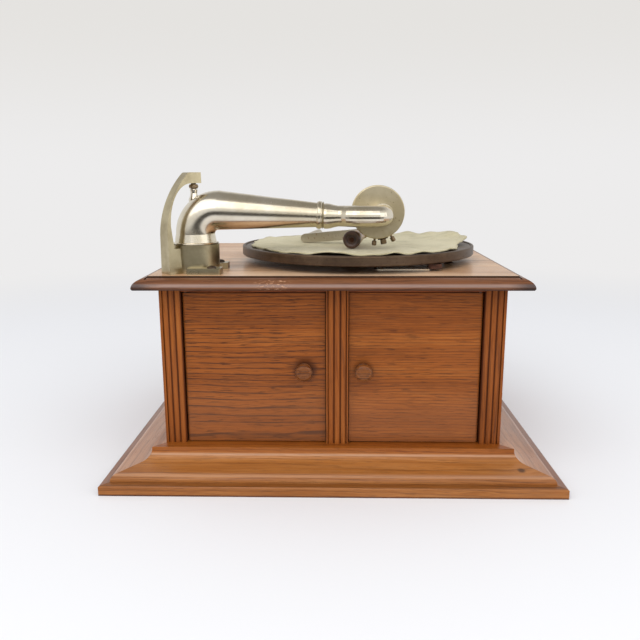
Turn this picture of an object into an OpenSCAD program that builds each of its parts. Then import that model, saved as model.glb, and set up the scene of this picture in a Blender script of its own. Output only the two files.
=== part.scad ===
// Table gramophone: a wooden cabinet with two doors and a lift-off lid that
// carries the turntable, its spring motor, the tone arm and the winding crank.
// Millimetres. X to the right, Y to the back, Z up from the underside of the plinth.

/* [Cabinet] */
// Width of the body over the pilasters
body_w = 332; // [326:1:340]
// Depth of the body
body_d = 300; // [296:1:320]
// Height of the body between plinth and lid
body_h = 157.5; // [150:0.5:170]
// Thickness of sides and doors
panel_t = 12; // [10:1:13]
// Width of one reeded pilaster
pilaster_w = 20.5; // [20:0.5:22]
// Width of the reeded stile between the doors
stile_w = 21.5; // [20:0.5:22]
// Centre of the stile, right of the middle
stile_x = 5; // [4:0.5:6]

/* [Plinth and lid] */
// Height of the plinth moulding
plinth_h = 32; // [30:1:36]
// How far the plinth stands out past the body
plinth_out = 53; // [48:1:60]
// How far the lid stands out past the body
lid_out = 20.5; // [18:0.5:24]
// Thickness of the lid
lid_t = 12; // [11:0.5:14]

/* [Turntable] */
// Diameter of the turntable
platter_d = 254; // [244:2:256]
// Height of the turntable rim
platter_rim_h = 9.7; // [8:0.1:10]
// Gap between the lid and the turntable rim
platter_gap = 8.1; // [8:0.1:10]
// Diameter of the record pin
pin_d = 7.2; // [7:0.1:7.3]

/* [Tone arm] */
// Outer diameter of the upright end of the tone arm
arm_root_d = 40.5; // [39:0.5:41]
// Outer diameter of the thin end of the tone arm
arm_tip_d = 23; // [21:0.5:24]
// Diameter of the soundbox
soundbox_d = 53; // [52:1:58]

/* [Hidden] */

$fn = 64;
eps = 0.01;

// Colours
oak = "#a5602f";
oak_dark = "#8a4a24";
oak_top = "#b9855c";
deal = "#c79c66";
nickel = "#c9c2b2";
brass_grey = "#a39a78";
steel = "#8d8f92";
dark_steel = "#4a4541";
brass = "#b08d4a";

// Cabinet levels
plinth_w = body_w + 2 * plinth_out;
plinth_d = body_d + 2 * plinth_out;
body_top = plinth_h + body_h;
front_y = -body_d / 2;
inner_x = body_w / 2 - panel_t;
door_gap = 0.8;
door_t = 14;
door_y = front_y + 4;
rail_t = 5;
door_z0 = plinth_h + door_gap;
door_z1 = body_top - rail_t - door_gap;
opening_x = body_w / 2 - pilaster_w;
stile_left = stile_x - stile_w / 2;
stile_right = stile_x + stile_w / 2;
floor_t = 10;
back_t = 8;
partition_t = 8;
partition_x = -5;
partition_top = body_top - 6;

// Door pivots stand close behind the front face, beside the pilaster
pivot_in = 3.6;
pivot_back = 3.2;
pivot_r = 1.5;
left_pivot_x = -opening_x + pivot_in;
right_pivot_x = opening_x - pivot_in;
pivot_y = door_y + pivot_back;
knob_z = 107;
knob_xs = [-27.2, 30.6];
knob_spigot_r = 4;
knob_spigot_h = 9;

// Lid levels
lid_w = body_w + 2 * lid_out;
lid_d = body_d + 2 * lid_out;
lid_top = body_top + lid_t;

// Turntable and motor places, seen from above
platter_x = 27.1;
platter_y = -26.6;
platter_z0 = lid_top + platter_gap;
platter_z1 = platter_z0 + platter_rim_h;
platter_lip = 1.2;
felt_t = 2.7;
felt_z0 = platter_z1 - platter_lip;
felt_z1 = felt_z0 + felt_t;
platter_r = platter_d / 2;
pin_r = pin_d / 2;
pin_h = 7;
hub_bore_r = 4.3;

// Gear train: barrel gear > intermediate pinion, intermediate wheel > spindle pinion
train_module = 1;
barrel_module = 1.25;
pinion_teeth = 12;
wheel_teeth = 60;
barrel_teeth = 64;
spindle_to_wheel = train_module * (pinion_teeth + wheel_teeth) / 2;
wheel_to_barrel = barrel_module * (pinion_teeth + barrel_teeth) / 2;
barrel_x = 94;
barrel_y = -22;
spindle_to_barrel = norm([barrel_x - platter_x, barrel_y - platter_y]);
barrel_dir = atan2(barrel_y - platter_y, barrel_x - platter_x);
wheel_dir = barrel_dir + acos((pow(spindle_to_wheel, 2) + pow(spindle_to_barrel, 2)
                               - pow(wheel_to_barrel, 2)) / (2 * spindle_to_wheel * spindle_to_barrel));
wheel_x = platter_x + spindle_to_wheel * cos(wheel_dir);
wheel_y = platter_y + spindle_to_wheel * sin(wheel_dir);
pinion_dir = atan2(barrel_y - wheel_y, barrel_x - wheel_x);

// Motor levels
top_plate_z = body_top - 6;
plate_t = 2.5;
bottom_plate_z = 124;
barrel_r = 32;
arbor_r = 5;
run_gap = 0.05;
plate_x0 = 8;
plate_x1 = 131;
plate_y0 = -70;
plate_y1 = 30;
pillar_places = [[15, -63], [124, -63], [124, 23], [15, 23]];
pillar_r = 3.5;

// Governor: its worm runs on the wormwheel of the spindle
worm_wheel_teeth = 36;
worm_starts = 3;
worm_r = 5;
worm_play = 1.25;
governor_y = platter_y - worm_wheel_teeth * train_module / 2 - worm_r - worm_play;
governor_z = 141;
governor_x0 = 10;
governor_x1 = 71;
governor_disc_x = 62;
governor_disc_r = 9;

// Winding: bevel wheel on the spring arbor, bevel pinion on the winding arbor
bevel_module = 1;
bevel_wheel_teeth = 32;
bevel_pinion_teeth = 16;
winding_z = 171;
winding_r = 4;
bevel_drop = 1.4;
winding_end_x = 152;
winding_hole_r = 5.5;

// Speed regulator behind the turntable
speed_x = 66.5;
speed_y = 112;
speed_throw = 2;

// Tone arm
arm_x = -133.8;
arm_y = -121.7;
collar_top = 228.5;
throat_r = 17;
collar_bore_r = 18.4;
bend_r = 23;
arm_z = 260.7;
bend_x = arm_x + bend_r;
bend_z = arm_z - bend_r;
arm_bend_d = 37.6;
arm_root_r = arm_root_d / 2;
arm_tip_x = -12;
arm_tip_z = 255.8;
arm_reach = norm([arm_tip_x - bend_x, arm_tip_z - bend_z]);
arm_slope = 90 - atan2(arm_tip_z - bend_z, arm_tip_x - bend_x) - acos(bend_r / arm_reach);
arm_length = sqrt(pow(arm_reach, 2) - pow(bend_r, 2));
tube_t = 1.2;
spigot_r = collar_bore_r - 0.05;

// Bracket that carries the tone arm: foot, collar, and an arch that stands at the front left
foot_t = 6;
foot_screw_x = 19.2;
foot_screw_y = 24.6;
foot_screw_places = [for (s = [[1, -1], [1, 1], [-1, 1]]) [arm_x + s[0] * foot_screw_x, arm_y + s[1] * foot_screw_y]];
collar_r = 22.7;
bracket_turn = 42;
strap_w0 = 17;
strap_w1 = 11;
head_z0 = 286.6;
head_z1 = 296.8;
pivot_screw_r = 2.5;
nut_z0 = 281.5;
nut_h = 4;
cup_top = 281;

// Gooseneck and soundbox
neck_r = 10.2;
neck_z = arm_tip_z - 1;
neck_y = arm_y - 7.3;
neck_bend_r = 11.8;
neck_start_x = arm_tip_x + 4;
neck_end_x = 49.9;
soundbox_x = 45.4;
soundbox_y = -104;
soundbox_z = 257.4;
soundbox_r = soundbox_d / 2;
soundbox_t = 11;
chuck_y = 9;
chuck_screw_z = -3;
chuck_drop = 6.3;
chuck_turn = 12;
side_screw_turn = 18;
side_screw_r = 1.1;
side_screw_y = 5.5;
needle_r = 0.85;
needle_depth = 4;

// Brake under the rim of the turntable
brake_x = 47;
brake_y = -121.7;
brake_len = 48;

// Crank, lying on the felt: origin at the big end of its handle
crank_pos = [19, -106, felt_z1 + 9.4];
crank_yaw = 14.5;
crank_tilt = -2;
crank_droop = 5.5;
crank_len = 65;
crank_end_r = 4.9;
crank_hub_r = 5.4;
crank_shaft_l = 51;
handle_len = 52;
handle_r = 9;

// Outline helpers -----------------------------------------------------------

function arc(cx, cz, rx, rz, a0, a1, n = 8) =
    [for (i = [0:n]) let (a = a0 + (a1 - a0) * i / n) [cx + rx * cos(a), cz + rz * sin(a)]];

// Plinth moulding: fascia, fillet, quarter round, long slope, cove and top fillet
function plinth_profile(in_w) = concat(
    [[in_w, 0], [0, 0], [0, 8.4], [1.2, 9.6], [8.6, 10.2]],
    arc(15, 10.2, 6.4, 6.4, 180, 97, 8),
    arc(plinth_out - 22.2, 30.2, 10.6, 10.6, 276, 352, 8),
    [[plinth_out - 11.5, plinth_h], [in_w, plinth_h]]
);

// Lid moulding: thumbnail edge, with a small groove under the flat top
function lid_edge(half) = concat(
    [[1 - half, 0]],
    arc(12.6 - half, 1.6, 12.6, 9, 180, 98, 12),
    [[11.3 - half, 9.2], [12.8 - half, 9.2], [12.8 - half, lid_t]]
);
function lid_profile(length) = let (left = lid_edge(length / 2)) concat(
    left, [for (i = [len(left) - 1:-1:0]) [-left[i][0], left[i][1]]]
);

// Involute gear outline
function involute(base_r, roll) = [
    base_r * (cos(roll) + roll * PI / 180 * sin(roll)),
    base_r * (sin(roll) - roll * PI / 180 * cos(roll))
];
function turned(p, a) = [p[0] * cos(a) - p[1] * sin(a), p[0] * sin(a) + p[1] * cos(a)];
function flipped(p) = [p[0], -p[1]];
function gear_points(teeth, mod, play = 0.2, add = 0.85, n = 4) =
    let (pitch_r = teeth * mod / 2,
         base_r = pitch_r * cos(20),
         tip_r = pitch_r + add * mod,
         root_r = pitch_r - 1.2 * mod,
         roll_pitch = sqrt(pow(pitch_r / base_r, 2) - 1) * 180 / PI,
         roll_tip = sqrt(pow(tip_r / base_r, 2) - 1) * 180 / PI,
         pitch_pt = involute(base_r, roll_pitch),
         half = 90 / teeth - play / 2 / pitch_r * 180 / PI,
         shift = -half - atan2(pitch_pt[1], pitch_pt[0]),
         low = root_r < base_r ? [turned([root_r, 0], shift)] : [],
         flank = concat(low, [for (i = [0:n]) turned(involute(base_r, roll_tip * i / n), shift)]),
         back = [for (i = [len(flank) - 1:-1:0]) flipped(flank[i])])
    [for (k = [0:teeth - 1], p = concat(flank, back)) turned(p, k * 360 / teeth)];

module gear(teeth, mod, thick, phase = 0) {
    rotate(phase)
        linear_extrude(thick)
            polygon(gear_points(teeth, mod));
}

// A quarter-turned revolve: the profile's X is the radius, its Y runs along +Y
module turned_along_y(points) {
    rotate([-90, 0, 0])
        rotate_extrude()
            polygon([for (p = points) [p[0], p[1]]]);
}

module tube_along_z(outer, inner, length) {
    difference() {
        cylinder(r = outer, h = length);
        translate([0, 0, -1]) cylinder(r = inner, h = length + 2);
    }
}

// Reeds side by side with narrow flat grooves, seen from above, running back from y = 0
module reeded_section(width, depth, reeds, reed_w, start) {
    groove_w = 0.5;
    reed_r = reed_w * 0.55;
    valley = reed_r - sqrt(pow(reed_r, 2) - pow((reed_w - groove_w) / 2, 2));
    end = start + reeds * reed_w;
    translate([0, valley]) square([width, depth - valley]);
    if (start > 0) square([start, depth]);
    translate([end, 0]) square([width - end, depth]);
    for (i = [0:reeds - 1])
        translate([start + (i + 0.5) * reed_w, reed_r])
            intersection() {
                circle(r = reed_r, $fn = 48);
                translate([-reed_w / 2, -reed_r - 1]) square([reed_w, reed_r + 1]);
            }
}

// Cabinet --------------------------------------------------------------------

module plinth_rail(length, depth) {
    in_w = plinth_out + 22;
    intersection() {
        translate([-length / 2, -depth / 2, 0])
            rotate([90, 0, 90])
                linear_extrude(length) polygon(plinth_profile(in_w));
        translate([0, -depth / 2, -1])
            linear_extrude(plinth_h + 2)
                polygon([[-length / 2 - 1, -1], [length / 2 + 1, -1],
                         [length / 2 - in_w, in_w], [in_w - length / 2, in_w]]);
    }
}

module plinth_front() {
    color(oak)
        difference() {
            plinth_rail(plinth_w, plinth_d);
            for (x = [left_pivot_x, right_pivot_x])
                translate([x, pivot_y, plinth_h - 8]) cylinder(r = pivot_r, h = 9);
        }
}
module plinth_back() { color(oak) rotate(180) plinth_rail(plinth_w, plinth_d); }
module plinth_left() { color(oak) rotate(-90) plinth_rail(plinth_d, plinth_w); }
module plinth_right() { color(oak) rotate(90) plinth_rail(plinth_d, plinth_w); }

module base_board() {
    color(deal)
        translate([-inner_x, door_y + door_t + 0.5, plinth_h])
            cube([2 * inner_x, body_d / 2 - back_t - door_y - door_t - 0.5, floor_t]);
}

module side_panel() {
    translate([inner_x, front_y + 12, plinth_h])
        cube([panel_t, body_d - 12, body_h]);
}
module left_side() { color(oak) mirror([1, 0, 0]) side_panel(); }
module right_side() {
    color(oak)
        difference() {
            side_panel();
            translate([inner_x - 1, barrel_y, winding_z])
                rotate([0, 90, 0]) cylinder(r = winding_hole_r, h = panel_t + 2);
        }
}

module back_panel() {
    color(deal)
        translate([-inner_x, body_d / 2 - back_t, plinth_h])
            cube([2 * inner_x, back_t, body_h]);
}

module pilaster() {
    translate([opening_x, front_y, plinth_h])
        linear_extrude(body_h) reeded_section(pilaster_w, 12, 3, 6, 0);
}
module left_pilaster() { color(oak_dark) mirror([1, 0, 0]) pilaster(); }
module right_pilaster() { color(oak_dark) pilaster(); }

module centre_stile() {
    stile_y = front_y - 1.5;
    stile_d = 18.4;
    reed_w = 6.2;
    color(oak_dark)
        difference() {
            translate([stile_left, stile_y, plinth_h])
                linear_extrude(body_h) reeded_section(stile_w, stile_d, 3, reed_w, (stile_w - 3 * reed_w) / 2);
            // notch for the top rail
            translate([stile_left - 1, door_y, body_top - rail_t]) cube([stile_w + 2, stile_d, rail_t + 1]);
        }
}

module top_rail() {
    color(oak)
        difference() {
            translate([-opening_x, door_y, body_top - rail_t])
                cube([2 * opening_x, 20, rail_t]);
            translate([arm_x, arm_y, body_top - rail_t - 1]) cylinder(r = 20, h = rail_t + 2);
            for (x = [left_pivot_x, right_pivot_x])
                translate([x, pivot_y, body_top - rail_t - 1]) cylinder(r = pivot_r, h = rail_t - 1);
        }
}

module partition() {
    color(deal)
        translate([partition_x, front_y + 17, plinth_h + floor_t])
            cube([partition_t, body_d - 17 - back_t, partition_top - plinth_h - floor_t]);
}

// Curved board across the back of the sound chamber
module sound_deflector() {
    radius = 90;
    thick = 4;
    x0 = -inner_x;
    chamber_w = inner_x + partition_x;
    y1 = body_d / 2 - back_t;
    z0 = plinth_h + floor_t;
    color(deal)
        translate([x0, y1 - radius, z0 + radius])
            rotate([0, 90, 0])
                intersection() {
                    tube_along_z(radius, radius - thick, chamber_w);
                    translate([0, 0, -1]) cube([radius + 1, radius + 1, chamber_w + 2]);
                }
}

module corner_blocks() {
    leg = 18;
    y1 = body_d / 2 - back_t;
    z0 = plinth_h + floor_t;
    color(deal) {
        translate([inner_x, y1, z0])
            linear_extrude(130) polygon([[0, 0], [-leg, 0], [0, -leg]]);
        translate([partition_x + partition_t, y1, z0])
            linear_extrude(130) polygon([[0, 0], [leg, 0], [0, -leg]]);
    }
}

module door_pivots() {
    color(steel)
        for (x = [left_pivot_x, right_pivot_x]) {
            translate([x, pivot_y, plinth_h - 8]) cylinder(r = pivot_r, h = 20);
            translate([x, pivot_y, body_top - rail_t - 12]) cylinder(r = pivot_r, h = 14);
        }
}

module door_stops() {
    color(oak)
        for (x = [stile_left - 30, stile_right + 10])
            translate([x, door_y + door_t + 0.3, body_top - rail_t - 9])
                cube([20, 5, 9]);
}

module winding_escutcheon() {
    color(brass)
        translate([body_w / 2, barrel_y, winding_z])
            rotate([0, 90, 0])
                difference() {
                    rotate_extrude()
                        polygon(concat([[winding_hole_r, 0], [15, 0]],
                                       arc(12.6, 0.6, 2.4, 1.4, 0, 90, 5), [[winding_hole_r, 2]]));
                    for (a = [45:90:315])
                        rotate(a) translate([10, 0, 1.2]) cylinder(r1 = 0.6, r2 = 1.7, h = 0.9);
                }
}

// Doors ----------------------------------------------------------------------

// A door between the edges x0 (beside its pivot) and x1; the front corner at the pivot is rounded
module door(x0, x1, pivot_x, knob_x) {
    round_r = 2.9;
    side = x0 < x1 ? 1 : -1;
    difference() {
        translate([x0, door_y, door_z0])
            linear_extrude(door_z1 - door_z0)
                scale([side, 1])
                    union() {
                        translate([round_r, 0]) square([abs(x1 - x0) - round_r, door_t]);
                        translate([0, round_r]) square([round_r + 1, door_t - round_r]);
                        translate([round_r, round_r]) circle(r = round_r);
                    }
        for (z = [door_z0 - 1, door_z1 - 13])
            translate([pivot_x, pivot_y, z]) cylinder(r = pivot_r + run_gap, h = 14);
        translate([knob_x, door_y - 1, knob_z]) rotate([-90, 0, 0]) cylinder(r = knob_spigot_r, h = knob_spigot_h + 2);
    }
}

module left_door() {
    color(oak) door(-opening_x + 0.7, stile_left - door_gap, left_pivot_x, knob_xs[0]);
}
module right_door() {
    color(oak) door(opening_x - 0.7, stile_right + door_gap, right_pivot_x, knob_xs[1]);
}

// Turned knob with a spigot glued into the door
module knob(x) {
    color(oak_dark)
        translate([x, door_y, knob_z])
            rotate([90, 0, 0])
                rotate_extrude()
                    polygon(concat([[0, -knob_spigot_h], [knob_spigot_r, -knob_spigot_h],
                                    [knob_spigot_r, 0], [6.6, 0], [6.6, 1.2]],
                                   arc(7.2, 4, 2.9, 2.8, 260, 180, 4),
                                   arc(5.6, 10, 2.9, 3.6, 300, 420, 8),
                                   arc(0, 4, 14, 10.8, 64, 90, 5)));
}
module left_knob() { knob(knob_xs[0]); }
module right_knob() { knob(knob_xs[1]); }

// Lid ------------------------------------------------------------------------

module lid_board() {
    color(oak_top)
        difference() {
            intersection() {
                translate([0, lid_d / 2, body_top])
                    rotate([90, 0, 0]) linear_extrude(lid_d) polygon(lid_profile(lid_w));
                translate([-lid_w / 2, 0, body_top])
                    rotate([90, 0, 90]) linear_extrude(lid_w) polygon(lid_profile(lid_d));
            }
            translate([platter_x, platter_y, body_top - 1]) cylinder(r = 12, h = lid_t + 2);
            translate([arm_x, arm_y, body_top - 1]) cylinder(r = throat_r + 1.5, h = lid_t + 2);
            translate([speed_x, speed_y, body_top - 1]) cylinder(r = 3.05, h = lid_t + 2);
            for (p = pillar_places)
                translate([p[0], p[1], body_top - 1]) cylinder(r = 2.5, h = lid_t + 2);
            translate([brake_x, brake_y, lid_top - 8]) cylinder(r = 1.6, h = 9);
            for (p = foot_screw_places)
                translate([p[0], p[1], lid_top - 10]) cylinder(r = 1.6, h = 11);
        }
}

module lid_battens() {
    y1 = body_d / 2 - back_t - 0.8;
    fit = 0.8;
    for (b = [[-inner_x + fit, arm_y + 33], [inner_x - fit - 18, door_y + 20 + fit]])
        color(deal)
            translate([b[0], b[1], body_top - 12]) cube([18, y1 - b[1], 12]);
}

module throat_sleeve() {
    color(brass_grey)
        translate([arm_x, arm_y, body_top - 4])
            tube_along_z(throat_r + 1.5, throat_r, lid_t + 4);
}

// Motor ----------------------------------------------------------------------

module plate_outline() {
    corner = 7;
    difference() {
        union() {
            translate([plate_x0 + corner, plate_y0])
                square([plate_x1 - plate_x0 - 2 * corner, plate_y1 - plate_y0]);
            translate([plate_x0, plate_y0 + corner])
                square([plate_x1 - plate_x0, plate_y1 - plate_y0 - 2 * corner]);
            for (x = [plate_x0 + corner, plate_x1 - corner], y = [plate_y0 + corner, plate_y1 - corner])
                translate([x, y]) circle(r = corner);
        }
        for (p = pillar_places) translate(p) circle(r = 2.5);
        translate([platter_x, platter_y]) circle(r = arbor_r + run_gap);
        translate([wheel_x, wheel_y]) circle(r = 3 + run_gap);
        translate([barrel_x, barrel_y]) circle(r = arbor_r + run_gap);
    }
}
module motor_top_plate() {
    color(steel) translate([0, 0, top_plate_z]) linear_extrude(plate_t) plate_outline();
}
module motor_bottom_plate() {
    color(steel) translate([0, 0, bottom_plate_z]) linear_extrude(plate_t) plate_outline();
}

// Spacing tubes between the plates, and rubber bushes between plate and lid
module motor_pillars() {
    color(steel)
        for (p = pillar_places)
            translate([p[0], p[1], 0]) {
                translate([0, 0, bottom_plate_z + plate_t])
                    tube_along_z(pillar_r, 2.5, top_plate_z - bottom_plate_z - plate_t);
                translate([0, 0, top_plate_z + plate_t])
                    tube_along_z(6, 2.5, body_top - top_plate_z - plate_t);
            }
}

// Long bolts from the top of the lid to nuts under the bottom plate
module motor_bolts() {
    color(nickel)
        for (p = pillar_places)
            translate([p[0], p[1], 0]) {
                translate([0, 0, bottom_plate_z - 5]) cylinder(r = 2.4, h = lid_top - bottom_plate_z + 5);
                translate([0, 0, bottom_plate_z - 3.5]) cylinder(r = 4.2, h = 3.5, $fn = 6);
                translate([0, 0, lid_top])
                    rotate_extrude() polygon(concat([[0, 0], [4.6, 0]], arc(0, 0, 4.6, 2.2, 8, 90, 6)));
            }
}

// Two posts that carry the governor
module governor_bracket() {
    color(brass)
        for (x = [governor_x0, governor_x1 - 3])
            difference() {
                translate([x, governor_y - 7, bottom_plate_z + plate_t])
                    cube([3, 10, governor_z - bottom_plate_z - plate_t + 6]);
                translate([x - 1, governor_y, governor_z])
                    rotate([0, 90, 0]) cylinder(r = 2 + run_gap, h = 5);
            }
}

module winding_bearing() {
    color(brass)
        difference() {
            translate([122, barrel_y - 8, winding_z - 8]) cube([5, 16, top_plate_z - winding_z + 8]);
            translate([121, barrel_y, winding_z])
                rotate([0, 90, 0]) cylinder(r = winding_r + run_gap, h = 7);
        }
}

// Spindle with its pinion, wormwheel and the pin for the record
module spindle() {
    color(steel)
        translate([platter_x, platter_y, 0]) {
            rotate_extrude()
                polygon(concat(
                    [[0, bottom_plate_z - 2], [arbor_r, bottom_plate_z - 2],
                     [arbor_r, platter_z0 - 2], [hub_bore_r, platter_z0 - 2], [hub_bore_r, felt_z1],
                     [pin_r, felt_z1], [pin_r, felt_z1 + pin_h]],
                    arc(0, felt_z1 + pin_h, pin_r, 3, 10, 90, 6)));
            translate([0, 0, 172]) gear(pinion_teeth, train_module, 7, wheel_dir);
            translate([0, 0, governor_z - 1.5]) gear(worm_wheel_teeth, train_module, 3, 0);
        }
}

// Pressed turntable: flat top, deep rim, hub on the spindle
module platter() {
    rim_t = 4;
    top_t = 2.2;
    hub_r = 14;
    z0 = platter_z0;
    z1 = platter_z1;
    plate_z1 = felt_z0;
    color("#6f6658")
        translate([platter_x, platter_y, 0])
            rotate_extrude($fn = 128)
                polygon(concat(
                    [[hub_bore_r, z0 - 2], [hub_r, z0 - 2], [hub_r, plate_z1 - top_t], [platter_r - rim_t, plate_z1 - top_t],
                     [platter_r - rim_t, z0], [platter_r - 0.8, z0], [platter_r, z0 + 0.8]],
                    arc(platter_r - 1.4, z1 - 1.4, 1.4, 1.4, 0, 90, 5),
                    [[platter_r - 2.4, z1], [platter_r - 3, z1 - 0.6], [platter_r - 3, plate_z1], [hub_bore_r, plate_z1]]));
}

// Felt mat, its torn edge in and out by a few millimetres
function felt_edge(a) = 117 + 2.2 * sin(5 * a + 20) + 1.8 * sin(8 * a) + 1.3 * sin(13 * a + 70);
module platter_felt() {
    color("#a9ad84")
        translate([platter_x, platter_y, felt_z0])
            linear_extrude(felt_t)
                difference() {
                    polygon([for (a = [0:3:357]) felt_edge(a) * [cos(a), sin(a)]]);
                    circle(r = hub_bore_r);
                }
}

module intermediate_wheel() {
    color(brass)
        translate([wheel_x, wheel_y, 0]) {
            translate([0, 0, bottom_plate_z - 1]) cylinder(r = 3, h = top_plate_z + plate_t + 2 - bottom_plate_z);
            translate([0, 0, 153])
                gear(pinion_teeth, barrel_module, 10, pinion_dir);
            difference() {
                translate([0, 0, 174]) gear(wheel_teeth, train_module, 3, wheel_dir + 180 + 180 / wheel_teeth);
                for (a = [0:72:288])
                    rotate(a) translate([17, 0, 173]) cylinder(r = 7, h = 5);
            }
        }
}

// Spring barrel with its gear, turning on the spring arbor
module spring_barrel() {
    color(brass)
        translate([barrel_x, barrel_y, 0])
            difference() {
                union() {
                    translate([0, 0, 129.5]) cylinder(r = barrel_r + 1, h = 2);
                    translate([0, 0, 131]) cylinder(r = barrel_r, h = 25.5);
                    translate([0, 0, 156])
                        gear(barrel_teeth, barrel_module, 4, pinion_dir + 180 + 180 / barrel_teeth);
                }
                translate([0, 0, 128]) cylinder(r = arbor_r + run_gap, h = 34);
            }
}

module bevel(teeth, mate_teeth, face) {
    apex = mate_teeth * bevel_module / 2;
    linear_extrude(face, scale = 1 - face / apex)
        polygon(gear_points(teeth, bevel_module, 0.4, 0.6, 2));
}

module spring_arbor() {
    bevel_z = winding_z - bevel_pinion_teeth * bevel_module / 2 - bevel_drop;
    color(steel)
        translate([barrel_x, barrel_y, 0]) {
            translate([0, 0, bottom_plate_z - 3])
                cylinder(r = arbor_r, h = top_plate_z + plate_t + 2 - bottom_plate_z + 3);
            translate([0, 0, bevel_z - 0.9]) cylinder(r = 13, h = 1);
            translate([0, 0, bevel_z]) bevel(bevel_wheel_teeth, bevel_pinion_teeth, 2.4);
        }
}

module winding_arbor() {
    x0 = barrel_x + bevel_wheel_teeth * bevel_module / 2;
    color(steel)
        translate([0, barrel_y, winding_z])
            union() {
                translate([x0 - 3, 0, 0]) rotate([0, 90, 0])
                    difference() {
                        cylinder(r = winding_r, h = winding_end_x - x0 + 3);
                        translate([-1, -winding_r - 1, winding_end_x - x0 - 3]) cube([2, 2 * winding_r + 2, 8]);
                    }
                translate([x0, 0, 0]) rotate([0, -90, 0]) rotate(180 / bevel_pinion_teeth)
                    bevel(bevel_pinion_teeth, bevel_wheel_teeth, 5);
                translate([x0, 0, 0]) rotate([0, 90, 0]) cylinder(r = 6.5, h = 4);
            }
}

// Worm thread: three starts, its lead matches the teeth of the wormwheel
module worm(length) {
    lead = PI * train_module * worm_starts;
    points = [for (a = [0:30:330]) let (r = worm_r - 0.5 + 0.75 * cos(worm_starts * a)) [r * cos(a), r * sin(a)]];
    linear_extrude(length, twist = -360 * length / lead, slices = 26, segments = 12) polygon(points);
}

module governor() {
    weight_x = 48;
    collar_x = 36;
    slider_x = 57;
    color(steel)
        translate([0, governor_y, governor_z]) {
            // shaft, fixed collar, sliding collar and brake disc in one revolve
            rotate([0, 90, 0])
                rotate_extrude()
                    polygon([[0, governor_x0 - 1], [2, governor_x0 - 1], [2, collar_x], [4, collar_x],
                             [4, collar_x + 3], [2, collar_x + 3], [2, slider_x], [4, slider_x],
                             [4, governor_disc_x], [governor_disc_r, governor_disc_x],
                             [governor_disc_r, governor_disc_x + 1.5], [2, governor_disc_x + 1.5],
                             [2, governor_x1 + 1], [0, governor_x1 + 1]]);
            translate([platter_x - 7, 0, 0]) rotate([0, 90, 0]) worm(14);
            // three weights on leaf springs from collar to collar
            for (a = [0:120:240])
                rotate([a, 0, 0]) {
                    translate([collar_x + 0.5, -2, 3.4]) cube([slider_x - collar_x + 2, 4, 0.8]);
                    translate([weight_x, 0, 3.8]) cylinder(r = 4.2, h = 6.4, $fn = 32);
                }
        }
}

module speed_knob() {
    color(nickel)
        translate([speed_x, speed_y, 0]) {
            translate([0, 0, 182.5]) cylinder(r = 3, h = lid_top - 182.5 + 1);
            translate([speed_throw, 0, 177]) cylinder(r = 1, h = 6);
            translate([0, 0, lid_top + 0.3])
                rotate_extrude()
                    polygon(concat([[0, 0], [8, 0], [8, 4.6]], arc(6.6, 4.6, 1.4, 1.4, 20, 90, 4), [[0, 6]]));
        }
}

// Flat rod from the speed knob to a pad beside the governor disc
module regulator_rod() {
    rod_z = 178.3;
    pad_y = governor_y - governor_disc_r - 1.4;
    color(dark_steel) {
        difference() {
            translate([speed_x - 4, pad_y - 2, rod_z]) cube([9, speed_y - pad_y + 8, 2]);
            translate([speed_x - 0.5, speed_y - 1.4, rod_z - 1]) cube([4.4, 2.8, 4]);
        }
        translate([governor_disc_x - 1.5, pad_y - 2, governor_z - 3]) cube([10, 2, rod_z - governor_z + 3 + eps]);
    }
}

// Tone arm -------------------------------------------------------------------

// Foot seen from above: the collar's circle with a lug for each screw
module foot_lug() {
    lug_x = foot_screw_x + 9.1;
    lug_y = foot_screw_y + 4.9;
    polygon(concat([[-4, -10], [-4, -lug_y]], arc(lug_x - 3, 3 - lug_y, 3, 3, 270, 360, 4), [[lug_x, -15], [10, -8]]));
}
module foot_outline() {
    translate([arm_x, arm_y]) {
        circle(r = collar_r - 2);
        foot_lug();
        mirror([0, 1, 0]) foot_lug();
        rotate(180) foot_lug();
    }
}

// Strap of the arch from the side: u runs out from the axis of the tone arm
module arch_outline() {
    outer = concat([[34.2, lid_top]], arc(-49.7, 236, 84, 84, 2, 46, 14), [[6.5, head_z1], [-5.2, head_z1]]);
    inner = concat([[-5.2, head_z0], [6.5, head_z0]], arc(6.5, 247, 23.5, 39.4, 84, 0, 12),
                   [[29.2, 238], [27.6, collar_top - 3], [19, collar_top - 3], [19, lid_top]]);
    polygon(concat(outer, inner));
}

// Foot, collar and arch cast in one piece; the strap of the arch narrows upwards
module tonearm_bracket() {
    color(brass_grey)
        difference() {
            union() {
                translate([0, 0, lid_top]) linear_extrude(foot_t) foot_outline();
                translate([arm_x, arm_y, lid_top]) cylinder(r = collar_r, h = collar_top - lid_top);
                translate([arm_x, arm_y, 0])
                    rotate(180 + bracket_turn)
                        intersection() {
                            translate([0, strap_w0 / 2 + 1, 0])
                                rotate([90, 0, 0]) linear_extrude(strap_w0 + 2) arch_outline();
                            translate([-10, 0, 0])
                                rotate([90, 0, 90])
                                    linear_extrude(60)
                                        polygon([[-strap_w0 / 2, lid_top - 3], [strap_w0 / 2, lid_top - 3],
                                                 [strap_w1 / 2, head_z1 + 3], [-strap_w1 / 2, head_z1 + 3]]);
                        }
            }
            translate([arm_x, arm_y, lid_top - 1]) cylinder(r = throat_r, h = 10);
            translate([arm_x, arm_y, lid_top + 6]) cylinder(r = collar_bore_r, h = 40);
            translate([arm_x, arm_y, head_z0 - 1]) cylinder(r = pivot_screw_r, h = 30);
            for (p = foot_screw_places)
                translate([p[0], p[1], lid_top - 1]) cylinder(r = 1.9, h = foot_t + 2);
        }
}

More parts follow.
